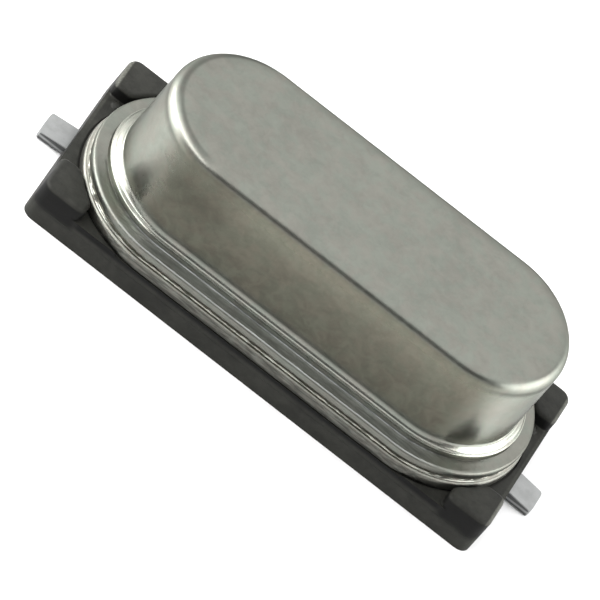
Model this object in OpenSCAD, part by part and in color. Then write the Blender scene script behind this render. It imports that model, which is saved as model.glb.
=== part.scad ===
// Surface-mount quartz crystal unit in a low metal can.
// X runs along the can, Y across it and Z up. The origin is the middle of the footprint, on the board.

/* [Can] */
// Length of the can's body along X
can_length = 9.95; // [8.2:0.05:12]
// Width of the can's body along Y
can_width = 3.78; // [3.14:0.02:4.6]
// Height of the top of the can above the board
top_height = 3.75; // [3.1:0.05:5]
// Thickness of the sheet that the can is drawn from
can_sheet = 0.2; // [0.16:0.01:0.27]
// Outer radius of the edge round the top
can_top_radius = 0.33; // [0.28:0.01:0.6]
// Distance that the wall leans in on its way up
can_lean = 0.02; // [0.01:0.01:0.04]
// Reach of the can's flange beyond the wall at the ends
flange_end_reach = 0.49; // [0.46:0.01:0.7]
// Reach of the can's flange beyond the wall at the long sides
flange_side_reach = 0.44; // [0.42:0.01:0.7]
// Radius of the outer edges of the can's flange
can_edge_radius = 0.07; // [0.04:0.01:0.1]
// Radius of the fillet at the foot of the wall
foot_radius = 0.2; // [0.12:0.01:0.24]
// Width of that fillet that the welding electrode leaves beside the wall
foot_width = 0.06; // [0.03:0.01:0.08]
// Width of the ledge beyond the fillet
ledge_width = 0.03; // [0.02:0.01:0.06]
// Height of the ledge above the flange
ledge_height = 0.15; // [0.08:0.01:0.18]
// Chamfer round the mouth of the can, on the inside
mouth_chamfer = 0.12; // [0.08:0.01:0.15]

/* [Header] */
// Distance that the header's flange stands out from under the can's at the ends
header_end_margin = 0.05; // [0.03:0.01:0.1]
// Distance that the header's flange stands out from under the can's at the long sides
header_side_margin = 0.02; // [0.01:0.01:0.1]
// Thickness of the header's flange
header_flange_thickness = 0.28; // [0.24:0.01:0.36]
// Radius of the outer edges of the header's flange
header_edge_radius = 0.08; // [0.05:0.01:0.1]
// Height of the header's plateau above the flange
plateau_rise = 0.4; // [0.3:0.02:0.5]
// Radius round the top of the plateau
plateau_edge_radius = 0.12; // [0.06:0.01:0.15]
// Thickness of the plateau's web
plateau_web = 0.35; // [0.28:0.01:0.42]
// Width of the plateau's rim round the hollow below it
plateau_rim = 0.35; // [0.28:0.01:0.42]
// Diameter of the glass bead round each lead
glass_diameter = 1.3; // [1:0.05:1.5]
// Height that the glass creeps up the lead
glass_creep = 0.08; // [0.04:0.01:0.1]

/* [Weld] */
// Height of the welded ridge between the two flanges
weld_height = 0.13; // [0.1:0.01:0.18]
// Width of the welded ridge
weld_width = 0.2; // [0.12:0.01:0.24]
// Distance from the edge of the can's flange to the outside of the ridge
weld_inset = 0.08; // [0.06:0.01:0.12]
// Distance that the thin weld flash stands out of the ridge
flash_reach = 0.06; // [0.03:0.01:0.1]
// Thickness of the weld flash
flash_thickness = 0.04; // [0.02:0.01:0.05]

/* [Insulator base] */
// Height of the seat that the header sits on
slab_height = 0.62; // [0.56:0.02:1]
// Depth of the shallow pocket round that seat
pocket_depth = 0.06; // [0.02:0.01:0.1]
// Height of the four corner blocks above the seat
block_rise = 0.4; // [0.3:0.01:0.6]
// Length of a corner block along the long side
block_length = 1.05; // [0.7:0.05:1.2]
// Width of a corner block along the short side
block_width = 1.05; // [0.7:0.05:1.25]
// Distance that the base stands out beyond the header's flange at the ends
base_end_margin = 0.21; // [0.12:0.01:0.3]
// Distance that the base stands out beyond the header's flange at the long sides
base_side_margin = 0; // [0:0.01:0.2]
// Radius of the upright corners of the base
base_corner_radius = 0.25; // [0.1:0.01:0.3]
// Chamfer along the top of the blocks at both ends
block_chamfer = 0.08; // [0.04:0.01:0.12]
// Distance that the upper part of the base stands back from the long sides
upper_setback = 0.03; // [0.02:0.01:0.06]
// Height of the line where that upper part starts
setback_height = 0.42; // [0.3:0.01:0.54]

/* [Leads] */
// Distance between the axes of the two leads
lead_pitch = 4.88; // [4.1:0.02:5.2]
// Diameter of the lead wire
lead_diameter = 0.43; // [0.36:0.01:0.52]
// Height of the lead's welded end above the plateau
lead_rise = 0.25; // [0.2:0.01:0.32]
// Width of the flattened tab
tab_width = 0.72; // [0.6:0.01:0.88]
// Thickness of the flattened tab
tab_thickness = 0.2; // [0.16:0.01:0.25]
// Distance that each tab stands out of the base
tab_reach = 0.65; // [0.4:0.05:1]
// Distance that the tab drops from the end of the base to its tip
tab_drop = 0.08; // [0.04:0.01:0.1]
// Inner radius of the bend from the wire to the tab
bend_radius = 0.12; // [0.08:0.01:0.14]
// Radius of the tip's corners, seen from above
tip_radius = 0.1; // [0.05:0.01:0.15]

/* [Quartz blank] */
// Distance from the ends of the quartz strip to the can's inner wall
blank_end_gap = 0.755; // [0.4:0.005:1]
// Distance from the upper edge of the quartz strip to the can's inner roof
blank_roof_gap = 0.26; // [0.15:0.01:0.35]
// Thickness of the quartz strip along Y
blank_thickness = 0.2; // [0.16:0.01:0.3]
// Length of the rectangular part of an electrode
electrode_length = 3.2; // [2:0.1:4]
// Distance from that part to the strip's long edges
electrode_margin = 0.25; // [0.15:0.01:0.35]
// Thickness of the electrode film
electrode_film = 0.02; // [0.02:0.01:0.04]
// Height of the electrode's tail
tail_height = 0.66; // [0.6:0.01:0.72]
// Distance from the tail's end to the end of the strip
tail_margin = 0.15; // [0.05:0.01:0.2]

/* [Mount clips] */
// Thickness of the clip's sheet
clip_sheet = 0.12; // [0.1:0.01:0.15]
// Width of the clip along Y
clip_width = 1.1; // [0.9:0.05:1.3]
// Distance from the end of the strip to the middle of the clip's upright
clip_inset = 0.4; // [0.3:0.01:0.5]
// Length of the clip's foot inwards from the axis of the lead
foot_overhang = 0.3; // [0.22:0.01:0.4]
// Height from the clip's foot to the lower edge of the strip
blank_lift = 0.16; // [0.12:0.01:0.2]
// Height of the clip's two prongs above the middle of the strip
prong_rise = 0.35; // [0.33:0.01:0.42]
// Radius of the dabs of conductive adhesive
dab_radius = 0.28; // [0.2:0.01:0.3]

/* [Clearances] */
// Space between the can's inner wall and the header's plateau
plateau_clearance = 0.12; // [0.08:0.01:0.2]
// Space between the header's flange and the edge of its pocket
pocket_clearance = 0.05; // [0.03:0.01:0.06]
// Space between the corner blocks and the header's round ends
block_clearance = 0.1; // [0.06:0.01:0.2]
// Space round the lead in its slot in the base
slot_clearance = 0.08; // [0.04:0.01:0.12]
// Space beside and above the tab in its channel
channel_clearance = 0.06; // [0.04:0.01:0.08]
// Space on each side of the strip in the clip
strip_clearance = 0.02; // [0.01:0.01:0.04]

/* [Hidden] */
$fn = 96;

// How far a cutting shape runs past the face that it opens
over = 0.5;
// How far two solids of one lead run into each other where they join
joint = 0.02;

// Outlines with round ends, each as a radius and the length of its straight sides
can_radius = can_width / 2;
can_straight = can_length - can_width;
inner_radius = can_radius - can_sheet;
flange_radius = can_radius + flange_side_reach;
flange_straight = can_length + 2 * flange_end_reach - 2 * flange_radius;
header_radius = flange_radius + header_side_margin;
header_length = can_length + 2 * flange_end_reach + 2 * header_end_margin;
header_straight = header_length - 2 * header_radius;
plateau_radius = inner_radius - plateau_clearance;
base_length = header_length + 2 * base_end_margin;
base_width = 2 * header_radius + 2 * base_side_margin;

// Heights, from the board up
header_top = slab_height + header_flange_thickness;
can_bottom = header_top + weld_height;
flange_top = can_bottom + can_sheet;
foot_top = flange_top + ledge_height + foot_radius;
slab_top = slab_height + pocket_depth;
block_top = slab_height + block_rise;
plateau_top = header_top + plateau_rise;
web_bottom = plateau_top - plateau_web;
lead_top = plateau_top + lead_rise;
blank_bottom = lead_top + clip_sheet + blank_lift;
blank_top = top_height - can_sheet - blank_roof_gap;
blank_middle = (blank_bottom + blank_top) / 2;
tab_top = tab_drop + tab_thickness;
bend_top = tab_top + bend_radius;
wire_bottom = slab_height;

// Places along X
lead_x = lead_pitch / 2;
blank_length = can_length - 2 * can_sheet - 2 * blank_end_gap;
clip_x = blank_length / 2 - clip_inset;
tab_tip = base_length / 2 + tab_reach;
tab_start = lead_x + tab_thickness / 2 + bend_radius;

// Openings in the base
slot_radius = lead_diameter / 2 + slot_clearance;
channel_width = tab_width + 2 * channel_clearance;
channel_height = tab_top + channel_clearance;

// Carries a section, drawn as distance from the middle line and height, round an outline with round ends.
module round_ended(straight) {
    for (turn = [0, 180]) rotate([0, 0, turn]) {
        translate([straight / 2, 0, 0]) rotate([0, 0, -90]) rotate_extrude(angle = 180) children();
        translate([-straight / 2, 0, 0]) rotate([90, 0, 90]) linear_extrude(straight) children();
    }
}

// Section of a plate from the middle line to an edge with both corners rounded.
module plate_section(radius, bottom, top, edge) {
    translate([0, bottom]) square([radius - edge, top - bottom]);
    translate([0, bottom + edge]) square([radius, top - bottom - 2 * edge]);
    for (height = [bottom + edge, top - edge]) translate([radius - edge, height]) circle(edge);
}

// Section of a drawn can: upright at its foot, then leaning in to the rounded edge of its top.
module can_section(radius, bottom, top, edge) {
    lean_radius = radius - can_lean;
    polygon([
        [0, bottom], [radius, bottom], [radius, foot_top], [lean_radius, top - edge],
        [lean_radius - edge, top - edge], [lean_radius - edge, top], [0, top]
    ]);
    translate([lean_radius - edge, top - edge]) circle(edge);
}

// Section of the fillet at the foot of the wall, cut off by the step that the electrode pressed.
module foot_section() {
    difference() {
        translate([0, can_bottom]) square([can_radius + foot_width, foot_top - can_bottom]);
        translate([can_radius + foot_radius, foot_top]) circle(foot_radius);
    }
    translate([0, can_bottom]) square([can_radius + foot_width + ledge_width, can_sheet + ledge_height]);
}

module cover() color([0.64, 0.64, 0.6]) difference() {
    union() {
        round_ended(flange_straight) plate_section(flange_radius, can_bottom, flange_top, can_edge_radius);
        round_ended(can_straight) {
            can_section(can_radius, can_bottom, top_height, can_top_radius);
            foot_section();
        }
    }
    round_ended(can_straight) {
        can_section(inner_radius, can_bottom - over, top_height - can_sheet, can_top_radius - can_sheet);
        polygon([
            [0, can_bottom - over], [inner_radius + mouth_chamfer + over, can_bottom - over],
            [inner_radius, can_bottom + mouth_chamfer], [0, can_bottom + mouth_chamfer]
        ]);
    }
}

// Ridge that the two flanges are welded through, with the thin flash that the weld pushed out.
module weld_section() {
    outer = flange_radius - weld_inset;
    translate([outer - weld_width, header_top - header_edge_radius])
        square([weld_width, weld_height + header_edge_radius]);
    translate([outer - weld_width, header_top + (weld_height - flash_thickness) / 2])
        square([weld_width + flash_reach, flash_thickness]);
}

// Section of the plateau, down to the slab, with the rounded edge of a stamping.
module plateau_section() {
    edge = plateau_edge_radius;
    translate([0, slab_height]) square([plateau_radius, plateau_top - edge - slab_height]);
    translate([0, slab_height]) square([plateau_radius - edge, plateau_top - slab_height]);
    translate([plateau_radius - edge, plateau_top - edge]) circle(edge);
}

module header() color([0.7, 0.69, 0.64]) difference() {
    union() {
        round_ended(header_straight)
            plate_section(header_radius, slab_height, header_top, header_edge_radius);
        round_ended(can_straight) plateau_section();
        round_ended(flange_straight) weld_section();
    }
    round_ended(can_straight) translate([0, slab_height - over])
        square([plateau_radius - plateau_rim, web_bottom - slab_height + over]);
    for (side = [-1, 1]) translate([side * lead_x, 0, web_bottom - over / 2])
        cylinder(h = plateau_web + over, d = glass_diameter);
}

module glass_bead(side) color([0.25, 0.35, 0.4]) translate([side * lead_x, 0, 0]) rotate_extrude()
    polygon([
        [lead_diameter / 2, web_bottom], [glass_diameter / 2, web_bottom], [glass_diameter / 2, plateau_top],
        [lead_diameter / 2 + glass_creep, plateau_top], [lead_diameter / 2, plateau_top + glass_creep]
    ]);

// Outline of a tab from above, with the corners of its tip rounded.
module tab_outline() {
    translate([lead_x, -tab_width / 2]) square([tab_tip - tip_radius - lead_x, tab_width]);
    translate([lead_x, tip_radius - tab_width / 2]) square([tab_tip - lead_x, tab_width - 2 * tip_radius]);
    for (side = [-1, 1]) translate([tab_tip - tip_radius, side * (tab_width / 2 - tip_radius)])
        circle(tip_radius);
}

// Tab seen from the side: level in its channel, then down to the board.
module tab_profile() polygon([
    [tab_start, tab_drop], [base_length / 2, tab_drop], [tab_tip, 0],
    [tab_tip, tab_thickness], [base_length / 2, tab_top], [tab_start, tab_top]
]);

// Wire down through the header and the base, flattened, bent outwards and led out along the channel.
module right_lead() {
    translate([lead_x, 0, wire_bottom]) cylinder(h = lead_top - wire_bottom, d = lead_diameter);
    hull() {
        translate([lead_x, 0, wire_bottom - joint]) cylinder(h = 1.5 * joint, d = lead_diameter, $fn = 32);
        translate([lead_x - tab_thickness / 2, -tab_width / 2, bend_top])
            cube([tab_thickness, tab_width, joint]);
    }
    translate([tab_start, 0, bend_top]) rotate([90, 0, 0]) rotate([0, 0, 180])
        rotate_extrude(angle = 90) translate([bend_radius, -tab_width / 2])
            square([tab_thickness, tab_width]);
    intersection() {
        linear_extrude(bend_top) tab_outline();
        translate([0, tab_width, 0]) rotate([90, 0, 0]) linear_extrude(2 * tab_width) tab_profile();
    }
}

module lead(side) color([0.74, 0.75, 0.74]) rotate([0, 0, side > 0 ? 0 : 180]) right_lead();

// Rectangle with round corners, centred.
module rounded_rectangle(length, width, radius) {
    square([length - 2 * radius, width], center = true);
    square([length, width - 2 * radius], center = true);
    for (x = [-1, 1], y = [-1, 1])
        translate([x * (length / 2 - radius), y * (width / 2 - radius)]) circle(radius);
}

// Slab with a pocket for the header, and four corner blocks hollowed where they face its round ends.
module corner_blocks() difference() {
    linear_extrude(block_top) rounded_rectangle(base_length, base_width, base_corner_radius);
    translate([block_length - base_length / 2, -base_width, slab_top])
        cube([base_length - 2 * block_length, 2 * base_width, block_top]);
    translate([-base_length, block_width - base_width / 2, slab_top])
        cube([2 * base_length, base_width - 2 * block_width, block_top]);
    translate([0, 0, slab_height]) round_ended(header_straight)
        square([header_radius + pocket_clearance, block_top]);
    translate([0, 0, slab_top]) round_ended(header_straight)
        square([header_radius + block_clearance, block_top]);
    for (turn = [0, 180]) rotate([0, 0, turn]) translate([base_length / 2, base_width, block_top])
        rotate([90, 0, 0]) linear_extrude(2 * base_width)
            polygon([[-block_chamfer, 0], [over, block_chamfer + over], [over, -2 * block_chamfer - over],
                [0, -block_chamfer]]);
}

// Slot that the flattened lead is threaded down through, and the channel that it lies in below.
module lead_way() {
    reach = channel_width / 2 - slot_radius;
    translate([lead_x, 0, -over]) linear_extrude(slab_height + 2 * over) {
        square([2 * slot_radius, 2 * reach], center = true);
        for (side = [-1, 1]) translate([0, side * reach]) circle(slot_radius);
    }
    translate([lead_x, -channel_width / 2, -over]) cube([base_length, channel_width, channel_height + over]);
}

module insulator_base() color([0.16, 0.16, 0.15]) difference() {
    corner_blocks();
    for (turn = [0, 180]) rotate([0, 0, turn]) {
        lead_way();
        translate([-base_length, base_width / 2 - upper_setback, setback_height])
            cube([2 * base_length, over, block_top]);
    }
}

// Folded sheet: a foot welded on the lead's end, and an upright with a slot that holds the strip.
module mount_clip(side) color([0.75, 0.7, 0.55]) rotate([0, 0, side > 0 ? 0 : 180]) difference() {
    translate([0, clip_width / 2, 0]) rotate([90, 0, 0]) linear_extrude(clip_width) {
        corner = clip_x + clip_sheet / 2 - 2 * clip_sheet;
        translate([lead_x - foot_overhang, lead_top]) square([corner - lead_x + foot_overhang, clip_sheet]);
        translate([clip_x - clip_sheet / 2, lead_top + 2 * clip_sheet])
            square([clip_sheet, blank_middle + prong_rise - lead_top - 2 * clip_sheet]);
        translate([corner, lead_top + 2 * clip_sheet]) intersection() {
            difference() {
                circle(2 * clip_sheet);
                circle(clip_sheet);
            }
            translate([0, -over]) square(over);
        }
    }
    slot = blank_thickness + 2 * (electrode_film + strip_clearance);
    translate([clip_x - clip_sheet, -slot / 2, blank_bottom]) cube([2 * clip_sheet, slot, top_height]);
}

module quartz_blank() color([0.85, 0.88, 0.9])
    translate([-blank_length / 2, -blank_thickness / 2, blank_bottom])
        cube([blank_length, blank_thickness, blank_top - blank_bottom]);

// Film on one face of the strip: a rectangle and a tail towards one end.
module electrode(turn) color([0.9, 0.9, 0.86]) rotate([0, 0, turn])
    translate([0, -blank_thickness / 2, blank_middle]) rotate([90, 0, 0]) linear_extrude(electrode_film) {
        square([electrode_length, blank_top - blank_bottom - 2 * electrode_margin], center = true);
        translate([tail_margin - blank_length / 2, -tail_height / 2])
            square([blank_length / 2 - tail_margin, tail_height]);
    }

// Dab in the corner between the upright of a clip and one face of the strip, on the side of the middle.
module adhesive(side, face) {
    on_film = side == face;
    face_y = blank_thickness / 2 + (on_film ? electrode_film : 0);
    color([0.6, 0.6, 0.58]) translate([side * (clip_x - clip_sheet / 2), face * face_y, blank_middle])
        intersection() {
            sphere(dab_radius);
            translate([side > 0 ? -over : 0, face > 0 ? 0 : -over, -over]) cube([over, over, 2 * over]);
        }
}

insulator_base();
header();
glass_bead(-1);  // glass_bead_left
glass_bead(1);  // glass_bead_right
lead(-1);  // lead_left
lead(1);  // lead_right
mount_clip(-1);  // mount_clip_left
mount_clip(1);  // mount_clip_right
quartz_blank();
electrode(0);  // electrode_front
electrode(180);  // electrode_back
adhesive(-1, -1);  // adhesive_left_front
adhesive(-1, 1);  // adhesive_left_back
adhesive(1, -1);  // adhesive_right_front
adhesive(1, 1);  // adhesive_right_back
cover();
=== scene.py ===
"""Surface-mount quartz crystal unit: a low metal can with round ends on a black moulded base.

Pieces are modelled in millimetres, X along the can, Y across it and Z up, and made metres when
they are done.
"""
import math

import bmesh
import bpy
from mathutils import Matrix, Vector


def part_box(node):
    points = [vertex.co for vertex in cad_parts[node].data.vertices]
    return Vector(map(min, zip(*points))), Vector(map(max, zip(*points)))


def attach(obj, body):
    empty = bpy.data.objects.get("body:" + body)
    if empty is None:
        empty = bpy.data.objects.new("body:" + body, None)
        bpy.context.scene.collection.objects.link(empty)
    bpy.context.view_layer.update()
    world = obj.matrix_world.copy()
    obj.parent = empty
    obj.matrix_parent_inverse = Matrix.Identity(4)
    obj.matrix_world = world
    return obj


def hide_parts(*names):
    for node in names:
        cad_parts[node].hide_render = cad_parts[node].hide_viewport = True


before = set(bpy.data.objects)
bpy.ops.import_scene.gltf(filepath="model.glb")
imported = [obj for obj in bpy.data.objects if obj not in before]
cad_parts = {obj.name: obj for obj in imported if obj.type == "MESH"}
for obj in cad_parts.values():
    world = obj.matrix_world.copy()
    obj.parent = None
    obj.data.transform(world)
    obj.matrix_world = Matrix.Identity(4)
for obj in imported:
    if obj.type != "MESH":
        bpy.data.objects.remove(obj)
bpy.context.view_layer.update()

MM = 0.001
NEAR = 1e-4
CAP_RING = 0.05

# ---------------------------------------------------------------- sizes, in millimetres


def node_box(name):
    """Lowest and highest corner of a CAD node, in millimetres."""
    low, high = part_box(name)
    return Vector(low) / MM, Vector(high) / MM


COVER_LOW, COVER_HIGH = node_box("cover")
HEADER_LOW, HEADER_HIGH = node_box("header")
BASE_HIGH = node_box("insulator_base")[1]
LEAD_LOW, LEAD_HIGH = node_box("lead_right")
GLASS_LOW, GLASS_HIGH = node_box("glass_bead_right")
ROOF = COVER_HIGH.z

# The can and its flange
SHEET = 0.2
TOP_RADIUS = 0.3
CROWN_RADIUS = 1.0
CROWN_ANGLE = 15
LEAN = 0.02
FLANGE_END_REACH = 0.49
FLANGE_SIDE_REACH = 0.44
FLANGE_EDGE = 0.07
FOOT_RADIUS = 0.2
FOOT_WIDTH = 0.06
LEDGE_WIDTH = 0.03
LEDGE_HEIGHT = 0.15
LEDGE_ROOT = 0.006
LEDGE_EDGE = 0.008
FOOT_STRETCH = 0.1
FOOT_STAGES = 8
MOUTH_CHAMFER = 0.12
CAN_RADIUS = COVER_HIGH.y - FLANGE_SIDE_REACH
CAN_STRAIGHT = 2 * (COVER_HIGH.x - FLANGE_END_REACH - CAN_RADIUS)
FLANGE_TOP = COVER_LOW.z + SHEET
FOOT_TOP = FLANGE_TOP + LEDGE_HEIGHT + FOOT_RADIUS

# The header
HEADER_TOP = HEADER_LOW.z + 0.28
HEADER_EDGE = 0.08
PLATEAU_RADIUS = CAN_RADIUS - SHEET - 0.12
PLATEAU_EDGE = 0.12
PLATEAU_RIM = 0.35
PLATEAU_WEB = 0.35
WELD_INSET = 0.08
WELD_WIDTH = 0.2
FLASH_REACH = 0.06
FLASH_THICKNESS = 0.04
FLASH_EDGE = 0.01
FLASH_WANDER = 0.014
FLASH_ROWS = 36

# The leads
LEAD_X = (GLASS_LOW.x + GLASS_HIGH.x) / 2
WIRE_RADIUS = 0.215
TAB_WIDTH = LEAD_HIGH.y - LEAD_LOW.y
TAB_THICKNESS = 0.2
TAB_DROP = 0.08
BEND_RADIUS = 0.12
BEND_TURNS = 8
TIP_RADIUS = 0.07
TIP_ANGLES = (20, 40, 60, 80, 90)

# The base
SEAT = HEADER_LOW.z
SLAB_TOP = SEAT + 0.06
POCKET_CLEARANCE = 0.05
BLOCK_LENGTH = 1.05
BLOCK_WIDTH = 1.05
BASE_CORNER = 0.25
BLOCK_CLEARANCE = 0.1
BLOCK_EDGE = 0.1
BLOCK_FOOT = 0.04
BLOCK_SINK = 0.05
BLOCK_ROUND = 0.18
BLOCK_TIP_ROUND = 0.12
SETBACK = 0.006
SETBACK_HEIGHT = 0.42
CHANNEL_CLEARANCE = 0.06
SLOT_RADIUS = WIRE_RADIUS + 0.08
PIP_RADIUS = 0.13
PIP_HEIGHT = 0.07
PIP_INSET = 0.34
PIP_GAP = 0.16

# ---------------------------------------------------------------- modelling helpers


def deselect():
    """Leaves edit mode and selects nothing."""
    if bpy.context.mode != "OBJECT":
        bpy.ops.object.mode_set(mode="OBJECT")
    bpy.ops.object.select_all(action="DESELECT")


def edit():
    """Enters edit mode on vertices."""
    bpy.ops.object.mode_set(mode="EDIT")
    bpy.ops.mesh.select_mode(type="VERT")


def pick(test, kind="verts"):
    """Selects the vertices, edges or faces in edit mode that pass a test."""
    modes = {"verts": "VERT", "edges": "EDGE", "faces": "FACE"}
    bpy.ops.mesh.select_mode(type=modes[kind])
    bpy.ops.mesh.select_all(action="DESELECT")
    mesh = bmesh.from_edit_mesh(bpy.context.edit_object.data)
    for element in getattr(mesh, kind):
        if test(element):
            element.select_set(True)
    mesh.select_flush_mode()
    bmesh.update_edit_mesh(bpy.context.edit_object.data)


def move(x=0.0, y=0.0, z=0.0):
    """Moves what is selected."""
    bpy.ops.transform.translate(value=(x, y, z))


def extrude(x=0.0, y=0.0, z=0.0):
    """Extrudes what is selected."""
    bpy.ops.mesh.extrude_region_move(TRANSFORM_OT_translate={"value": (x, y, z)})


def choose(piece):
    """Selects one piece alone, in object mode."""
    deselect()
    bpy.context.view_layer.objects.active = piece
    piece.select_set(True)


def modifier(piece, kind, **settings):
    """Adds a modifier to a piece and applies it."""
    choose(piece)
    bpy.ops.object.modifier_add(type=kind)
    for name, value in settings.items():
        setattr(piece.modifiers[-1], name, value)
    bpy.ops.object.modifier_apply(modifier=piece.modifiers[-1].name)


def apply_place(piece):
    """Puts a piece's place, turn and scale into its mesh."""
    choose(piece)
    bpy.ops.object.transform_apply(location=True, rotation=True, scale=True)


def clean(piece):
    """Merges doubles and turns every face outwards."""
    choose(piece)
    edit()
    bpy.ops.mesh.select_all(action="SELECT")
    bpy.ops.mesh.remove_doubles(threshold=2 * NEAR)
    bpy.ops.mesh.normals_make_consistent(inside=False)
    deselect()


def draw(name, points):
    """A chain of edges through points, drawn by extruding one vertex."""
    deselect()
    bpy.ops.mesh.primitive_plane_add(size=0.1, location=points[0])
    piece = bpy.context.object
    piece.name = name
    bpy.ops.object.transform_apply(location=True)
    edit()
    bpy.ops.mesh.select_all(action="SELECT")
    bpy.ops.mesh.merge(type="CENTER")
    for here, there in zip(points, points[1:]):
        extrude(*(Vector(there) - Vector(here)))
    return piece


def softened(corners, steps=4):
    """An outline whose corners, given as (x, y, reach), are rounded over that reach."""
    outline = []
    for index, (x, y, reach) in enumerate(corners):
        corner = Vector((x, y))
        if not reach:
            outline.append((x, y))
            continue
        before = Vector(corners[index - 1][:2]) - corner
        after = Vector(corners[(index + 1) % len(corners)][:2]) - corner
        first, last = before.normalized() * reach, after.normalized() * reach
        for t in (step / steps for step in range(steps + 1)):
            outline.append(tuple(corner + first * (1 - t) ** 2 + last * t ** 2))
    return outline


def plate(name, outline, height):
    """Draws an outline at a height and fills it, ready to extrude upwards."""
    piece = draw(name, [(x, y, height) for x, y in outline])
    bpy.ops.mesh.select_all(action="SELECT")
    bpy.ops.mesh.edge_face_add()
    bpy.ops.mesh.select_mode(type="FACE")
    bpy.ops.mesh.select_all(action="SELECT")
    return piece


def round_top(radius, steps=5):
    """Rounds the rim of the face on top, from the height where its walls end."""
    angles = [math.pi / 2 * step / steps for step in range(steps + 1)]
    for here, there in zip(angles, angles[1:]):
        bpy.ops.mesh.inset(
            thickness=radius * (math.cos(here) - math.cos(there)),
            depth=radius * (math.sin(there) - math.sin(here)), use_even_offset=True)


def arc(centre, radius, start, end, steps):
    """Points of an arc in a section, from one angle to another in degrees."""
    angles = [math.radians(start + (end - start) * i / steps) for i in range(steps + 1)]
    return [(centre[0] + radius * math.cos(angle), centre[1] + radius * math.sin(angle))
            for angle in angles]


def fill_open_rims():
    """Closes every hole of the mesh in edit mode."""
    bpy.ops.mesh.select_all(action="DESELECT")
    bpy.ops.mesh.select_mode(type="EDGE")
    bpy.ops.mesh.select_non_manifold()
    bpy.ops.mesh.fill_holes(sides=0)


def round_ended(name, section, straight, shape_end, rows=1, steps=96, support=0.1):
    """Carries a section of (distance from the middle line, height) round two round ends.

    One end is spun, shaped further by shape_end, led to the middle in rows and mirrored.
    """
    half = straight / 2
    piece = draw(name, [(half, -radius, height) for radius, height in section])
    bpy.ops.mesh.select_all(action="SELECT")
    bpy.ops.mesh.spin(steps=steps, angle=-math.pi, center=(half, 0, 0), axis=(0, 0, 1))
    pick(lambda v: abs(v.co.x - half) < NEAR)
    extrude(x=-support)
    for _ in range(rows):
        extrude(x=(support - half) / rows)
    shape_end(half)
    deselect()
    modifier(piece, "MIRROR", use_clip=True, merge_threshold=5 * NEAR)
    edit()
    bpy.ops.mesh.select_all(action="SELECT")
    bpy.ops.mesh.remove_doubles(threshold=2 * NEAR)
    fill_open_rims()
    deselect()
    clean(piece)
    return piece


def block(name, low, high):
    """A box between two corners."""
    deselect()
    bpy.ops.mesh.primitive_cube_add(size=1, location=(Vector(low) + Vector(high)) / 2)
    piece = bpy.context.object
    piece.name = name
    piece.scale = Vector(high) - Vector(low)
    apply_place(piece)
    return piece


def cut(piece, *cutters, operation="DIFFERENCE"):
    """Cuts a piece with others, which are then gone."""
    for cutter in cutters:
        modifier(piece, "BOOLEAN", object=cutter, operation=operation, solver="EXACT")
        bpy.data.objects.remove(cutter)


def finished(piece, slot, *nodes):
    """Makes a piece metres, smooths it, gives it its material and lets it stand for CAD nodes."""
    piece.scale = (MM, MM, MM)
    apply_place(piece)
    bpy.ops.object.shade_smooth_by_angle(angle=math.radians(35))
    piece.data.materials.clear()
    piece.data.materials.append(MATERIALS[slot])
    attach(piece, "root")
    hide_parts(*nodes)


# ---------------------------------------------------------------- pieces


def can_section():
    """Closed section of the drawn can: from the roof down to the flange and back up inside."""
    bottom = COVER_LOW.z
    wall = CAN_RADIUS - LEAN
    inside = CAN_RADIUS - SHEET
    step = CAN_RADIUS + FOOT_WIDTH
    ledge_end = step + LEDGE_WIDTH
    ledge = FLANGE_TOP + LEDGE_HEIGHT
    foot_end = 180 + math.degrees(math.acos((FOOT_RADIUS - FOOT_WIDTH) / FOOT_RADIUS))
    edge_r = COVER_HIGH.y - FLANGE_EDGE
    inner_edge = TOP_RADIUS - SHEET
    turn = math.radians(CROWN_ANGLE)
    crown = wall - TOP_RADIUS - (CROWN_RADIUS - TOP_RADIUS) * math.sin(turn)
    rim = ROOF - CROWN_RADIUS + (CROWN_RADIUS - TOP_RADIUS) * math.cos(turn)
    return [
        (crown - CAP_RING, ROOF),
        *arc((crown, ROOF - CROWN_RADIUS), CROWN_RADIUS, 90, 90 - CROWN_ANGLE, 6)[:-1],
        *arc((wall - TOP_RADIUS, rim), TOP_RADIUS, 90 - CROWN_ANGLE, 0, 16),
        (wall + 0.001, rim - 0.06),
        (CAN_RADIUS, FOOT_TOP + 0.05),
        *arc((CAN_RADIUS + FOOT_RADIUS, FOOT_TOP), FOOT_RADIUS, 180, foot_end, 10),
        (step + 0.004, ledge + 0.03),
        (step + LEDGE_ROOT, ledge + LEDGE_ROOT),
        (step + 2 * LEDGE_ROOT, ledge),
        (ledge_end - LEDGE_EDGE, ledge),
        (ledge_end, ledge - LEDGE_EDGE),
        (ledge_end, FLANGE_TOP + 0.02),
        (ledge_end + LEDGE_ROOT, FLANGE_TOP + LEDGE_ROOT),
        (ledge_end + 0.02, FLANGE_TOP),
        (edge_r - 0.03, FLANGE_TOP),
        *arc((edge_r, FLANGE_TOP - FLANGE_EDGE), FLANGE_EDGE, 90, 0, 8),
        *arc((edge_r, bottom + FLANGE_EDGE), FLANGE_EDGE, 0, -90, 8),
        (edge_r - 0.03, bottom),
        (inside + MOUTH_CHAMFER, bottom),
        (inside, bottom + MOUTH_CHAMFER),
        *arc((inside - LEAN - inner_edge, ROOF - SHEET - inner_edge), inner_edge, 0, 90, 6),
    ]


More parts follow.
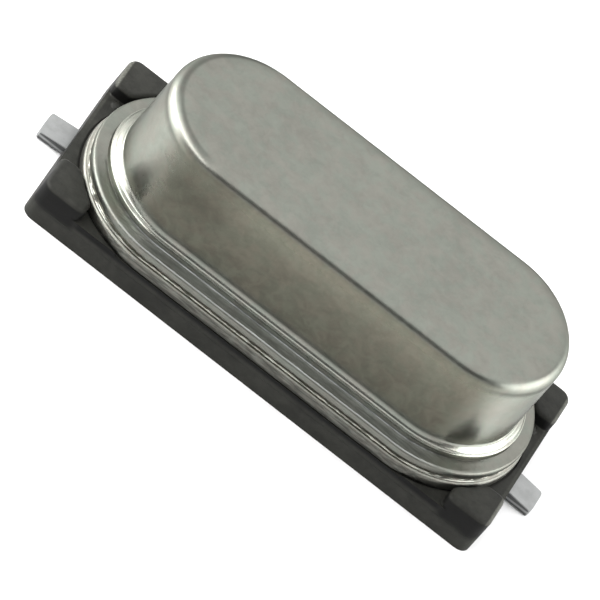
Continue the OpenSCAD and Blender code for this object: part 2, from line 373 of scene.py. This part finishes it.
def cover_piece():
    """The can. Its flange, and the foot above it, reach further at the ends than at the sides."""
    flange_start = CAN_RADIUS + FOOT_WIDTH + LEDGE_WIDTH + 0.01
    foot_end = flange_start + FOOT_STRETCH
    shift = COVER_HIGH.x - COVER_HIGH.y - CAN_STRAIGHT / 2
    stretch = 1 + FOOT_STRETCH / CAN_RADIUS / FOOT_STAGES

    def widen(half):
        def out(v):
            return math.hypot(v.co.x - half, v.co.y)

        pick(lambda v: v.co.x > half - NEAR and out(v) > flange_start)
        move(x=shift)
        for stage in range(FOOT_STAGES):
            level = FOOT_TOP - (FOOT_TOP - FLANGE_TOP - LEDGE_HEIGHT) * stage / FOOT_STAGES
            pick(lambda v: v.co.x > half + NEAR and FLANGE_TOP - NEAR < v.co.z < level
                 and CAN_RADIUS + NEAR < out(v) < foot_end)
            bpy.ops.transform.resize(value=(stretch, 1, 1), center_override=(half, 0, 0))

    return round_ended("cover_shell", can_section(), CAN_STRAIGHT, widen)


def header_section():
    """Closed section of the header: plateau, weld ridge with its flash, flange and hollow."""
    low = HEADER_LOW.z
    top = HEADER_HIGH.z
    weld_top = COVER_LOW.z
    weld = COVER_HIGH.y - WELD_INSET
    middle = (HEADER_TOP + weld_top) / 2
    edge_r = HEADER_HIGH.y - HEADER_EDGE
    web = top - PLATEAU_WEB
    hollow = PLATEAU_RADIUS - PLATEAU_RIM
    plateau = PLATEAU_RADIUS - PLATEAU_EDGE
    flash = weld + FLASH_REACH
    return [
        (plateau - CAP_RING, top),
        *arc((plateau, top - PLATEAU_EDGE), PLATEAU_EDGE, 90, 0, 6),
        (PLATEAU_RADIUS, HEADER_TOP),
        (weld - WELD_WIDTH, HEADER_TOP),
        (weld - WELD_WIDTH, weld_top),
        (weld, weld_top),
        (weld, middle + FLASH_THICKNESS / 2),
        (flash - FLASH_EDGE, middle + FLASH_THICKNESS / 2),
        (flash, middle + FLASH_THICKNESS / 4),
        (flash, middle - FLASH_THICKNESS / 4),
        (flash - FLASH_EDGE, middle - FLASH_THICKNESS / 2),
        (weld, middle - FLASH_THICKNESS / 2),
        (weld, HEADER_TOP),
        *arc((edge_r, HEADER_TOP - HEADER_EDGE), HEADER_EDGE, 90, 0, 8),
        *arc((edge_r, low + HEADER_EDGE), HEADER_EDGE, 0, -90, 8),
        (hollow, low),
        (hollow, web),
        (hollow - CAP_RING, web),
    ]


def header_piece():
    """The header. Its weld and its flange each reach further at the ends than at the sides."""
    header_shift = HEADER_HIGH.x - HEADER_HIGH.y - CAN_STRAIGHT / 2
    weld_shift = COVER_HIGH.x - COVER_HIGH.y - CAN_STRAIGHT / 2
    weld_start = COVER_HIGH.y - WELD_INSET - WELD_WIDTH - 0.01
    weld_end = COVER_HIGH.y - WELD_INSET + FLASH_REACH + 0.001
    weld_middle = (HEADER_TOP + COVER_LOW.z) / 2

    def widen(half):
        def out(v):
            return math.hypot(v.co.x - half, v.co.y)

        pick(lambda v: v.co.x > half - NEAR and v.co.z > HEADER_TOP - 0.001
             and weld_start < out(v) < weld_end)
        move(x=weld_shift)
        pick(lambda v: v.co.x > half - NEAR and v.co.z < HEADER_TOP + 0.001
             and out(v) > HEADER_HIGH.y - HEADER_EDGE - 0.01)
        move(x=header_shift)

    piece = round_ended("header_plate", header_section(), CAN_STRAIGHT, widen, rows=FLASH_ROWS)
    edit()
    pick(lambda v: abs(v.co.z - weld_middle) < FLASH_THICKNESS
         and math.hypot(max(abs(v.co.x) - CAN_STRAIGHT / 2, 0), v.co.y) > weld_start)
    bpy.ops.transform.vertex_random(offset=FLASH_WANDER, uniform=0, normal=0, seed=4)
    for side in (-1, 1):
        deselect()
        bpy.ops.mesh.primitive_cylinder_add(
            vertices=64, radius=(GLASS_HIGH.x - GLASS_LOW.x) / 2, depth=1,
            location=(side * LEAD_X, 0, HEADER_HIGH.z - PLATEAU_WEB / 2))
        cutter = bpy.context.object
        apply_place(cutter)
        cut(piece, cutter)
    return piece


def stadium(name, radius, straight, low, high, steps=192):
    """An upright block with round ends."""
    deselect()
    bpy.ops.mesh.primitive_cylinder_add(
        vertices=steps, radius=radius, depth=high - low, location=(0, 0, (low + high) / 2),
        rotation=(0, 0, math.pi / steps))
    piece = bpy.context.object
    piece.name = name
    apply_place(piece)
    edit()
    for side in (-1, 1):
        pick(lambda v: v.co.x * side > 0)
        move(x=side * straight / 2)
    deselect()
    return piece


def corner_block(x_sign, y_sign):
    """One corner block: square outside, hollowed by the header's round end, rounded on top."""
    length, width = BASE_HIGH.x, BASE_HIGH.y
    squeeze = (width - SETBACK) / width
    centre = HEADER_HIGH.x - HEADER_HIGH.y
    radius = HEADER_HIGH.y + BLOCK_CLEARANCE
    inner_x, inner_y = length - BLOCK_LENGTH, width - BLOCK_WIDTH
    first = math.degrees(math.acos((inner_x - centre) / radius))
    last = math.degrees(math.asin(inner_y / radius))
    room = 4  # degrees of the hollow given up to each rounded tip
    corners = [
        (inner_x, width * squeeze, BLOCK_ROUND),
        (inner_x, radius * math.sin(math.radians(first)), BLOCK_TIP_ROUND),
        *((x + centre, y, 0) for x, y in arc((0, 0), radius, first - room, last + room, 4)),
        (centre + radius * math.cos(math.radians(last)), inner_y, BLOCK_TIP_ROUND),
        (length, inner_y, BLOCK_ROUND),
        *((x, y * squeeze, 0) for x, y in
          arc((length - BASE_CORNER, width - BASE_CORNER), BASE_CORNER, 0, 90, 8)),
    ]
    outline = [(x * x_sign, y * y_sign) for x, y in softened(corners)]
    if x_sign * y_sign > 0:
        outline.reverse()
    wall_top = BASE_HIGH.z - BLOCK_EDGE
    piece = plate("corner_block", outline, SLAB_TOP - BLOCK_SINK)
    extrude(z=wall_top - SLAB_TOP + BLOCK_SINK)
    bpy.ops.mesh.select_all(action="SELECT")
    bpy.ops.mesh.normals_make_consistent(inside=False)
    pick(lambda f: f.calc_center_median().z > wall_top - NEAR, "faces")
    round_top(BLOCK_EDGE)
    deselect()
    return piece


def base_piece():
    """The moulding: a slab with four corner blocks, two lead slots and two channels underneath."""
    length, width = BASE_HIGH.x, BASE_HIGH.y
    far = 10
    corner_x, corner_y = length - BASE_CORNER, width - BASE_CORNER
    outline = []
    for x_sign, y_sign, start in ((1, 1, 0), (-1, 1, 90), (-1, -1, 180), (1, -1, 270)):
        outline += arc((x_sign * corner_x, y_sign * corner_y), BASE_CORNER, start, start + 90, 8)
    piece = plate("base_moulding", outline, 0)
    extrude(z=SETBACK_HEIGHT - SETBACK)
    extrude(z=SETBACK)
    bpy.ops.transform.resize(
        value=(1, (width - SETBACK) / width, 1), center_override=(0, 0, 0))
    extrude(z=SLAB_TOP - SETBACK_HEIGHT)
    deselect()
    clean(piece)
    cut(piece, *(corner_block(x, y) for x in (-1, 1) for y in (-1, 1)), operation="UNION")
    straight = 2 * (HEADER_HIGH.x - HEADER_HIGH.y)
    cut(piece, stadium("pocket", HEADER_HIGH.y + POCKET_CLEARANCE, straight, SEAT, far))
    channel = TAB_WIDTH / 2 + CHANNEL_CLEARANCE
    height = TAB_DROP + TAB_THICKNESS + CHANNEL_CLEARANCE
    for side in (-1, 1):
        ends = sorted((side * LEAD_X, side * far))
        cut(piece, block("channel", (ends[0], -channel, -far), (ends[1], channel, height)))
        slot = stadium("slot", SLOT_RADIUS, 2 * (channel - SLOT_RADIUS), -far, far)
        slot.rotation_euler = (0, 0, math.pi / 2)
        slot.location = (side * LEAD_X, 0, 0)
        apply_place(slot)
        cut(piece, slot)
        deselect()
        bpy.ops.mesh.primitive_uv_sphere_add(
            segments=24, ring_count=12, radius=PIP_RADIUS,
            location=(side * (length - PIP_INSET), width - BLOCK_WIDTH - PIP_GAP, SLAB_TOP))
        pip = bpy.context.object
        pip.scale.z = PIP_HEIGHT / PIP_RADIUS
        apply_place(pip)
        cut(piece, pip, operation="UNION")
    clean(piece)
    bpy.context.view_layer.objects.active = piece
    edit()
    inside = length - BLOCK_LENGTH - 0.05
    steep = -1.2

    def at_foot(v):
        return (abs(v.co.z - SLAB_TOP) < NEAR and inside < abs(v.co.x) < length - BLOCK_FOOT
                and abs(v.co.y) < width - SETBACK - BLOCK_FOOT)

    pick(lambda e: all(at_foot(v) for v in e.verts) and len(e.link_faces) == 2
         and e.calc_face_angle_signed() < steep, "edges")
    bpy.ops.mesh.bevel(offset=BLOCK_FOOT, segments=3, affect="EDGES")
    deselect()
    clean(piece)
    return piece


def lead_piece():
    """The right lead: round wire, flattened, bent outwards and cut off at its tip."""
    bend_top = TAB_DROP + TAB_THICKNESS + BEND_RADIUS
    deselect()
    bpy.ops.mesh.primitive_circle_add(
        vertices=32, radius=WIRE_RADIUS, fill_type="NGON", location=(LEAD_X, 0, LEAD_HIGH.z))
    piece = bpy.context.object
    piece.name = "lead_wire_right"
    apply_place(piece)
    edit()
    bpy.ops.mesh.select_all(action="SELECT")
    bpy.ops.mesh.delete(type="ONLY_FACE")
    bpy.ops.mesh.select_all(action="SELECT")
    extrude(z=SEAT - LEAD_HIGH.z)
    extrude(z=bend_top - SEAT)
    spread = (1.75, 1.69, 1)  # takes the wire's outline past the tab's, to be pressed flat
    bpy.ops.transform.resize(value=spread, center_override=(LEAD_X, 0, bend_top))
    lowest = bend_top + 0.001
    for side in (-1, 1):
        face, edge = LEAD_X + side * TAB_THICKNESS / 2, side * TAB_WIDTH / 2
        pick(lambda v: v.co.z < lowest and (v.co.x - face) * side > 0)
        bpy.ops.transform.resize(value=(0, 1, 1), center_override=(face, 0, bend_top))
        pick(lambda v: v.co.z < lowest and (v.co.y - edge) * side > 0)
        bpy.ops.transform.resize(value=(1, 0, 1), center_override=(0, edge, bend_top))
    pick(lambda v: v.co.z < lowest)
    centre = (LEAD_X + TAB_THICKNESS / 2 + BEND_RADIUS, 0, bend_top)
    for _ in range(BEND_TURNS):
        extrude()
        bpy.ops.transform.rotate(
            value=math.pi / 2 / BEND_TURNS, orient_axis="Y", center_override=centre)
    extrude(x=BASE_HIGH.x - centre[0])
    reach = LEAD_HIGH.x - BASE_HIGH.x
    extrude(x=reach - TIP_RADIUS, z=-TAB_DROP * (reach - TIP_RADIUS) / reach)
    half = TAB_WIDTH / 2
    done = 0.0
    for angle in map(math.radians, TIP_ANGLES):
        run = TIP_RADIUS * math.sin(angle)
        now = half - TIP_RADIUS * (1 - math.cos(angle))
        extrude(x=run - done, z=-TAB_DROP * (run - done) / reach)
        bpy.ops.transform.resize(value=(1, now / half, 1), center_override=(0, 0, 0))
        half, done = now, run
    fill_open_rims()
    clean(piece)
    return piece


def other_end(piece, name):
    """A copy turned half round, for the left end."""
    copy = piece.copy()
    copy.data = piece.data.copy()
    copy.name = name
    bpy.context.collection.objects.link(copy)
    copy.rotation_euler = (0, 0, math.pi)
    apply_place(copy)
    return copy


# ---------------------------------------------------------------- materials


class Value:
    """A shader socket that takes part in Python expressions."""

    def __init__(self, finish, socket):
        self.finish = finish
        self.socket = socket

    def math(self, operation, *others):
        values = {0: self}
        for index, other in enumerate(others, 1):
            values[index] = other
        return self.finish.node("ShaderNodeMath", {"operation": operation}, values)

    def __add__(self, other):
        return self.math("ADD", other)

    __radd__ = __add__

    def __mul__(self, other):
        return self.math("MULTIPLY", other)

    def __sub__(self, other):
        return self.math("SUBTRACT", other)

    def __rsub__(self, other):
        return (self * -1) + other

    def __abs__(self):
        return self.math("ABSOLUTE")

    def smooth(self, low, high):
        """0 at low, 1 at high and smooth between. Low may be the greater."""
        return self.finish.node("ShaderNodeMapRange", {"interpolation_type": "SMOOTHSTEP"}, {
            "Value": self, "From Min": low, "From Max": high})

    def between(self, start, full, fading, end):
        """1 from full to fading, 0 before start and past end."""
        return self.smooth(start, full) * (1 - self.smooth(fading, end))


class Finish:
    """A material with a Principled shader, and the nodes that feed it."""

    def __init__(self, name, **constants):
        self.material = bpy.data.materials.new(name)
        self.material.use_nodes = True
        self.tree = self.material.node_tree
        self.shader = self.tree.nodes["Principled BSDF"]
        for socket, value in constants.items():
            self.shader.inputs[socket.replace("_", " ")].default_value = value

    def node(self, kind, settings=None, values=None, output=0):
        """Adds a node with its settings, then its socket values or links, and gives one output."""
        node = self.tree.nodes.new(kind)
        for name, value in (settings or {}).items():
            setattr(node, name, value)
        for socket, value in (values or {}).items():
            if isinstance(value, Value):
                self.tree.links.new(value.socket, node.inputs[socket])
            else:
                node.inputs[socket].default_value = value
        return Value(self, node.outputs[output])

    def place(self, scale=(1, 1, 1), offset=(0, 0, 0)):
        """Object coordinates in millimetres, stretched by scale."""
        coords = self.node("ShaderNodeTexCoord", output="Object")
        return self.node("ShaderNodeMapping", None, {
            "Vector": coords, "Location": offset, "Scale": tuple(s / MM for s in scale)})

    def millimetres(self):
        """Object coordinates in millimetres, one by one."""
        return [self.node("ShaderNodeSeparateXYZ", None, {"Vector": self.place()}, axis)
                for axis in range(3)]

    def noise(self, size, detail, roughness, scale=(1, 1, 1), distortion=0.0, offset=(0, 0, 0)):
        """Noise whose features are about size millimetres wide."""
        return self.node("ShaderNodeTexNoise", {"noise_dimensions": "3D"}, {
            "Vector": self.place(scale, offset), "Scale": 1 / size, "Detail": detail,
            "Roughness": roughness, "Distortion": distortion})

    def mix(self, factor, first, second):
        """A colour between two others."""
        return self.node("ShaderNodeMix", {"data_type": "RGBA"}, {
            0: factor, 6: first, 7: second}, 2)

    def scaled(self, colour, level):
        """A colour made darker or lighter by one level."""
        return self.node("ShaderNodeVectorMath", {"operation": "SCALE"}, {
            0: self.plain(colour), "Scale": level})

    def multiplied(self, first, second):
        """Two colours multiplied."""
        return self.node("ShaderNodeVectorMath", {"operation": "MULTIPLY"}, {
            0: first, 1: second})

    @staticmethod
    def plain(colour):
        """A colour as a vector socket takes it."""
        return colour if isinstance(colour, Value) else colour[:3]

    def bump(self, height, distance, strength=1.0, normal=None):
        """A bump whose height is in millimetres."""
        values = {"Height": height, "Distance": distance * MM, "Strength": strength}
        if normal:
            values["Normal"] = normal
        return self.node("ShaderNodeBump", None, values)

    def feed(self, **sockets):
        """Links values to the shader and gives the finished material."""
        for socket, value in sockets.items():
            self.tree.links.new(value.socket, self.shader.inputs[socket.replace("_", " ")])
        return self.material


def grey(level, tint=(1.0, 1.0, 1.0)):
    """A colour of one level, tinted."""
    return (*(level * t for t in tint), 1.0)


GREENISH = (0.965, 1.02, 0.89)
WARM = (1.005, 1.0, 0.88)
NICKEL = (1.0, 1.02, 0.9)
OLIVE = (1.0, 1.01, 0.86)


def can_metal():
    """Satin nickel silver, drawn and tumbled: cloudy, and browner on the long walls. Light is
    painted in: the long walls painted darker as a painted reflection with a painted highlight on
    the foot, the ends and their rim painted lighter, painted shade near the left rim and high on
    the near left wall, and the long flange painted lighter.
    """
    f = Finish("satin_can", Metallic=1.0, Specular_Tint=(0.45, 0.45, 0.45, 1))
    x, y, z = f.millimetres()
    clouds = f.noise(1.1, 5, 0.62)
    mottle = f.noise(0.35, 5, 0.65, distortion=0.8, offset=(3, 1, 2))
    hue = f.noise(0.4, 5, 0.65, offset=(9, 4, 1))
    rubbed = f.noise(0.05, 3, 0.6, scale=(0.08, 1, 1))
    scuffs = f.noise(0.16, 4, 0.65, distortion=0.6)
    grain = f.noise(0.05, 2, 0.6)

    # Where each look lies
    long_side = 1 - abs(x).smooth(CAN_STRAIGHT / 2 + 0.4, CAN_STRAIGHT / 2 + 1.4)
    sides = z.between(FLANGE_TOP + 0.05, FLANGE_TOP + 0.15, ROOF - 0.5, ROOF - 0.3)
    on_wall = z.between(FLANGE_TOP + 0.02, FLANGE_TOP + 0.06, ROOF - 0.26, ROOF - 0.12)
    on_wall = on_wall * long_side
    up_wall = z.smooth(FOOT_TOP, ROOF - TOP_RADIUS)
    on_rim = z.between(ROOF - 0.34, ROOF - 0.26, ROOF - 0.1, ROOF - 0.03) * (1 - long_side)
    flange = z.between(FLANGE_TOP - 0.03, FLANGE_TOP, FLANGE_TOP + 0.01, FLANGE_TOP + 0.04)
    flange_side = flange * long_side
    outwards = abs(y).smooth(CAN_RADIUS + 0.1, COVER_HIGH.y - FLANGE_EDGE)
    shoulder = z.between(FLANGE_TOP - 0.04, FLANGE_TOP - 0.02, FLANGE_TOP - 0.01, FLANGE_TOP)
    near_left = x.between(-4.4, -3.6, -3, -1.8) * y.smooth(-1, -1.5)
    high_wall = z.between(ROOF - 1.9, ROOF - 0.8, ROOF - 0.25, ROOF - 0.12)
    left_end = x.smooth(-3.2, -3.8) * z.smooth(ROOF - 0.02, ROOF - 0.04)

    # How light the metal is, painted light included: the roof, the ends painted lighter, then the
    # long walls and the foot under them painted darker as a painted reflection
    level = (clouds * 0.4 + mottle * 0.35 + scuffs * 0.25).smooth(0.35, 0.65) * 0.034 + 0.152
    # Painted light: the ends of the can, the right more than the left, painted lighter
    level = level * (1 + (x.smooth(3.2, 4.6) * 1.3 + x.smooth(-3.2, -4.6) * 0.6) * sides)
    # Painted reflection: the long walls painted darker, lighter towards the roof
    wall = (mottle * 0.5 + scuffs * 0.5).smooth(0.3, 0.7) * 0.03 + 0.097
    wall = wall + z.smooth(ROOF - 1.1, ROOF - 0.3) * 0.03
    # Painted reflection: the wall just above the foot painted darkest, and a painted highlight on
    # the foot and the ledge below it
    foot = mottle.smooth(0.3, 0.7) * 0.024 + 0.07
    foot = foot + z.smooth(FOOT_TOP + 0.02, FOOT_TOP - 0.13) * 0.2
    level = level * (1 - on_wall) + (wall * up_wall + foot * (1 - up_wall)) * on_wall
    # Painted light on the flange along the long sides: its top painted lighter as a painted sheen,
    # most at its outer edge and streaked by rubbed wear, and its rounded rim painted darker as
    # painted shade
    flange_sheen_and_rubbing = outwards * 0.8 + rubbed.smooth(0.35, 0.65) * 0.8 + 0.45
    level = level * (1 + flange_side * flange_sheen_and_rubbing) * (1 - shoulder * long_side * 0.45)
    # Painted highlight on the rim at the ends, and painted shade high on the near left wall
    level = level * (1 + on_rim * 0.5) * (1 - near_left * high_wall * 0.32)
    # Painted shade at the left end, narrowing the rim's highlight on its inner side and towards the
    # back
    inner_rim = z.smooth(ROOF - 0.13, ROOF - 0.09) * 0.36
    far_rim = z.smooth(ROOF - 0.34, ROOF - 0.26) * y.smooth(-0.9, 0.1) * 0.3
    level = level * (1 - left_end * inner_rim.math("MAXIMUM", far_rim))

    tint = f.mix(hue.smooth(0.4, 0.6), grey(1, GREENISH), grey(1, WARM))
    brown = on_wall * z.smooth(FOOT_TOP - 0.05, FOOT_TOP + 0.2)
    tint = f.multiplied(tint, f.mix(brown, grey(1), grey(1, (1.05, 1.0, 0.9))))
    tint = f.mix(flange_side, tint, grey(1, (0.97, 1.0, 0.97)))
    rough = clouds * 0.05 + mottle * 0.06 + scuffs * 0.07 + on_rim * 0.1 + 0.22
    rough = rough + z.smooth(FLANGE_TOP, FLANGE_TOP - 0.03) * 0.14
    rough = rough - sides * x.smooth(-5, -3) * 0.06
    worn = f.bump(scuffs * 0.6 + rubbed, 0.006, strength=flange)
    waves = f.bump(mottle, 0.003, normal=worn)
    normal = f.bump(scuffs + grain * 0.4, 0.0012, normal=waves)
    return f.feed(Base_Color=f.scaled(tint, level), Roughness=rough, Normal=normal)


def header_metal():
    """Plated steel with a fine grain; along the long sides painted shade darkens the side, streaked
    by rubbed wear, and deeper painted shade lies low down.
    """
    f = Finish("plated_header", Metallic=1.0)
    x, _, z = f.millimetres()
    clouds = f.noise(0.8, 4, 0.6)
    scuffs = f.noise(0.14, 4, 0.65, distortion=0.5)
    grain = f.noise(0.06, 3, 0.6)
    rubbed = f.noise(0.06, 4, 0.65, scale=(0.12, 1, 1))
    long_side = 1 - abs(x).smooth(CAN_STRAIGHT / 2 + 0.7, CAN_STRAIGHT / 2 + 1.5)
    edge = long_side * z.smooth(HEADER_TOP - 0.01, HEADER_TOP - 0.06)
    shade = long_side * z.smooth(HEADER_LOW.z + 0.16, HEADER_LOW.z + 0.02)
    groove = z.smooth(HEADER_TOP - 0.02, HEADER_TOP + 0.01)
    # Painted shade on the long sides below the top, its depth streaked by rubbed wear
    side_shade_and_rubbing = 0.7 - rubbed.smooth(0.35, 0.65) * 0.45
    level = (clouds * 0.5 + scuffs * 0.5).smooth(0.35, 0.65) * 0.04 + 0.165
    level = level * (1 - edge * side_shade_and_rubbing) * (1 + groove * 0.9) * (1 - shade * 0.6)
    tint = f.mix(scuffs.smooth(0.4, 0.6), grey(1, (1.03, 1.0, 0.88)), grey(1, NICKEL))
    worn = f.bump(scuffs * 0.6 + rubbed * 0.6, 0.007)
    return f.feed(Base_Color=f.scaled(tint, level), Roughness=grain * 0.14 + 0.36,
                  Normal=f.bump(grain, 0.0015, normal=worn))


def black_resin():
    """Black moulded plastic, cloudy and dusty, with painted light: top and side faces painted tones
    of their own, the blocks' sides painted darker above a lighter band low down, painted shadow
    under the header, and a painted highlight along the ends' upper edge.
    """
    f = Finish("black_moulding", IOR=1.5, Specular_IOR_Level=0.14)
    x, y, z = f.millimetres()
    outward = f.node("ShaderNodeTexCoord", output="Normal")
    up = f.node("ShaderNodeSeparateXYZ", None, {"Vector": outward}, 2)
    flow = f.noise(0.7, 4, 0.6, distortion=0.6)
    dust = f.noise(0.12, 4, 0.65)
    grain = f.noise(0.05, 3, 0.6)
    at_block = abs(x).smooth(4.6, 4.8)
    # Painted shade: the blocks' sides painted darker above a lighter band low down
    above_band = (z + flow * 0.2).smooth(SETBACK_HEIGHT, SETBACK_HEIGHT + 0.2) * at_block
    # Painted shadow on the sides just under the header's flange
    under_header = z.smooth(SEAT - 0.14, SEAT - 0.03) * (1 - at_block)
    cloudy = (flow * 0.65 + dust * 0.35).smooth(0.3, 0.7)
    side = (cloudy * 0.012 + 0.014) * (1 - above_band * 0.9) * (1 - under_header * 0.95)
    # Painted light: top faces and side faces take tones of their own, blended by which way they
    # face
    top = cloudy * 0.014 + 0.01
    facing_up = up.smooth(0.1, 0.6)

    # The painted highlight: a light strip along the end's upper edge, varied by the grain
    at_end = abs(x).smooth(BASE_HIGH.x - 0.1, BASE_HIGH.x - 0.06) * up.smooth(0.02, 0.3)
    at_end = at_end * (x * 0.5 + y).smooth(-3.5, -2)
    at_end = at_end * (z.smooth(SLAB_TOP, SLAB_TOP + 0.1) * 0.75 + 0.25)
    # worn here is the painted highlight along the end's upper edge
    worn = at_end * (grain.smooth(0.35, 0.65) * 0.035 + 0.035)

    level = side * (1 - facing_up) + top * facing_up + worn
    return f.feed(Base_Color=f.scaled(grey(1, OLIVE), level), Roughness=flow * 0.12 + 0.5,
                  Normal=f.bump(grain + dust * 0.8, 0.003))


def tinned_lead():
    """Matte tin plate, darker where the flattened tab was sheared."""
    f = Finish("tin_plate", Metallic=1.0)
    _, y, z = f.millimetres()
    clouds = f.noise(0.35, 4, 0.6)
    grain = f.noise(0.03, 3, 0.6)
    sheared = abs(y).smooth(TAB_WIDTH / 2 - 0.02, TAB_WIDTH / 2 - 0.005)
    middle = 1 - abs(z - TAB_THICKNESS * 0.45 - TAB_DROP / 2).smooth(0.01, 0.045)
    level = (clouds.smooth(0.3, 0.7) * 0.05 + 0.23) * (1 - sheared * (0.72 - middle * 0.6))
    colour = f.scaled(grey(1, (0.98, 1.0, 0.99)), level)
    return f.feed(Base_Color=colour, Roughness=grain * 0.14 + 0.38, Normal=f.bump(grain, 0.002))


def glass_seal():
    """Dark sealing glass with small bubbles."""
    f = Finish("sealing_glass", IOR=1.5)
    bubbles = f.noise(0.12, 3, 0.6)
    colour = f.mix(bubbles.smooth(0.35, 0.7), (0.02, 0.05, 0.06, 1), (0.05, 0.1, 0.11, 1))
    return f.feed(Base_Color=colour, Roughness=bubbles * 0.1 + 0.12,
                  Normal=f.bump(bubbles, 0.004))


def clip_metal():
    """Bright spring strip with rolling lines."""
    f = Finish("clip_strip", Metallic=1.0)
    lines = f.noise(0.04, 3, 0.6, scale=(1, 0.1, 1))
    brass = (1, 0.95, 0.8)
    colour = f.mix(lines, grey(0.5, brass), grey(0.62, brass))
    return f.feed(Base_Color=colour, Roughness=lines * 0.15 + 0.25, Normal=f.bump(lines, 0.002))


def quartz():
    """Lapped quartz, half clear."""
    f = Finish("quartz_crystal", IOR=1.54, Alpha=0.45)
    lapped = f.noise(0.03, 3, 0.6)
    colour = f.mix(lapped, (0.78, 0.82, 0.84, 1), (0.9, 0.93, 0.95, 1))
    return f.feed(Base_Color=colour, Roughness=lapped * 0.2 + 0.25,
                  Normal=f.bump(lapped, 0.001))


def silver_film():
    """Silver plated on quartz."""
    f = Finish("silver_coat", Metallic=1.0)
    haze = f.noise(0.4, 3, 0.6)
    return f.feed(Base_Color=f.mix(haze, grey(0.78), grey(0.88)), Roughness=haze * 0.15 + 0.18)


def silver_adhesive():
    """Resin filled with silver flakes."""
    f = Finish("silver_paste", Metallic=0.6)
    flakes = f.noise(0.03, 4, 0.7)
    return f.feed(Base_Color=f.mix(flakes, grey(0.3), grey(0.5)), Roughness=flakes * 0.2 + 0.45,
                  Normal=f.bump(flakes, 0.006))


MATERIALS = {
    "can_metal": can_metal(), "header_metal": header_metal(), "black_resin": black_resin(),
    "tinned_lead": tinned_lead(), "glass_seal": glass_seal(), "clip_metal": clip_metal(),
    "quartz": quartz(), "silver_film": silver_film(), "silver_adhesive": silver_adhesive(),
}

INNER_PIECES = {
    "glass_bead_left": "glass_seal", "glass_bead_right": "glass_seal",
    "mount_clip_left": "clip_metal", "mount_clip_right": "clip_metal", "quartz_blank": "quartz",
    "electrode_front": "silver_film", "electrode_back": "silver_film",
    "adhesive_left_front": "silver_adhesive", "adhesive_left_back": "silver_adhesive",
    "adhesive_right_front": "silver_adhesive", "adhesive_right_back": "silver_adhesive",
}

for node_name, slot_name in INNER_PIECES.items():
    node_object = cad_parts[node_name]
    node_object.data.materials.clear()
    node_object.data.materials.append(MATERIALS[slot_name])

right_lead = lead_piece()
left_lead = other_end(right_lead, "lead_wire_left")
finished(cover_piece(), "can_metal", "cover")
finished(header_piece(), "header_metal", "header")
finished(base_piece(), "black_resin", "insulator_base")
finished(right_lead, "tinned_lead", "lead_right")
finished(left_lead, "tinned_lead", "lead_left")

# ---------------------------------------------------------------- stage

FLOOR_SIZE = 2
ROOM_LIGHT = 0.13

deselect()
bpy.ops.mesh.primitive_plane_add(size=FLOOR_SIZE, location=(0, 0, 0))
floor = bpy.context.object
floor.name = "floor"
floor_finish = Finish("floor_paper", Roughness=0.9)
paper = floor_finish.noise(0.6, 3, 0.6)
floor.data.materials.append(floor_finish.feed(
    Base_Color=floor_finish.mix(paper, grey(0.74), grey(0.76))))


def lamp(name, place, aim, along, width, height, radiance):
    """A flat lamp at a place, in millimetres, that faces aim, its width lying along a direction."""
    light = bpy.data.lights.new(name, "AREA")
    light.shape = "RECTANGLE"
    light.size, light.size_y = width * MM, height * MM
    light.energy = radiance * math.pi * light.size * light.size_y
    away = (Vector(place) - Vector(aim)).normalized()
    side = (Vector(along) - away * away.dot(Vector(along))).normalized()
    holder = bpy.data.objects.new(name, light)
    holder.matrix_world = Matrix((side, away.cross(side), away)).transposed().to_4x4()
    holder.location = Vector(place) * MM
    bpy.context.collection.objects.link(holder)


lamp("ceiling", (0, 120, 300), (0, 120, 0), (1, 0, 0), 600, 740, 1.85)
lamp("front_card", (0, -300, 50), (0, 0, 50), (1, 0, 0), 600, 100, 1.4)
lamp("back_card", (0, 300, 85), (0, 0, 85), (1, 0, 0), 900, 200, 1.6)
lamp("back_left_card", (-300, 190, 85), (0, 0, 85), (0, 1, 0), 220, 200, 1.6)
lamp("back_right_card", (300, 190, 85), (0, 0, 85), (0, 1, 0), 220, 200, 1.6)
lamp("left_card", (-20.7, 0, 4.5), (0, 0, 3), (0, 1, 0), 18, 6, 9)
lamp("left_glow", (-24, 0, 19), (0, 0, 0), (0, 1, 0), 20, 14, 3)
lamp("right_card", (20.7, 0, 7.5), (0, 0, 0), (0, 1, 0), 18, 12, 5)
lamp("left_strip", (-37, -15, 31), (0, 0, 0), (0.63, -0.8, 0.37), 65, 12, 7)
lamp("left_strip_glow", (-38, -15, 32), (0, 0, 0), (0.63, -0.8, 0.37), 75, 28, 1.5)

world = bpy.data.worlds.new("studio")
world.use_nodes = True
world.node_tree.nodes["Background"].inputs["Color"].default_value = (1, 1, 1, 1)
world.node_tree.nodes["Background"].inputs["Strength"].default_value = ROOM_LIGHT
bpy.context.scene.world = world
bpy.context.scene.view_settings.view_transform = "Standard"

# ---------------------------------------------------------------- camera

AZIMUTH = math.radians(4.843)
ELEVATION = math.radians(43.058)
ROLL = math.radians(41.127)
DISTANCE = 260
SENSOR = 36
FOCAL = 21.347 * SENSOR
AIM = Vector((-0.163, -1.475, 2.0))

back = Vector((-math.sin(AZIMUTH) * math.cos(ELEVATION),
               -math.cos(AZIMUTH) * math.cos(ELEVATION), math.sin(ELEVATION)))
across = Vector((math.cos(AZIMUTH), -math.sin(AZIMUTH), 0))
upward = back.cross(across)
right = math.cos(ROLL) * across + math.sin(ROLL) * upward
upright = back.cross(right)
camera_data = bpy.data.cameras.new("camera")
camera_data.sensor_width = SENSOR
camera_data.lens = FOCAL
camera_data.clip_start = 0.005
camera_data.clip_end = 10
camera = bpy.data.objects.new("camera", camera_data)
camera.matrix_world = Matrix((right, upright, back)).transposed().to_4x4()
camera.location = (AIM + DISTANCE * back) * MM
bpy.context.collection.objects.link(camera)
bpy.context.scene.camera = camera
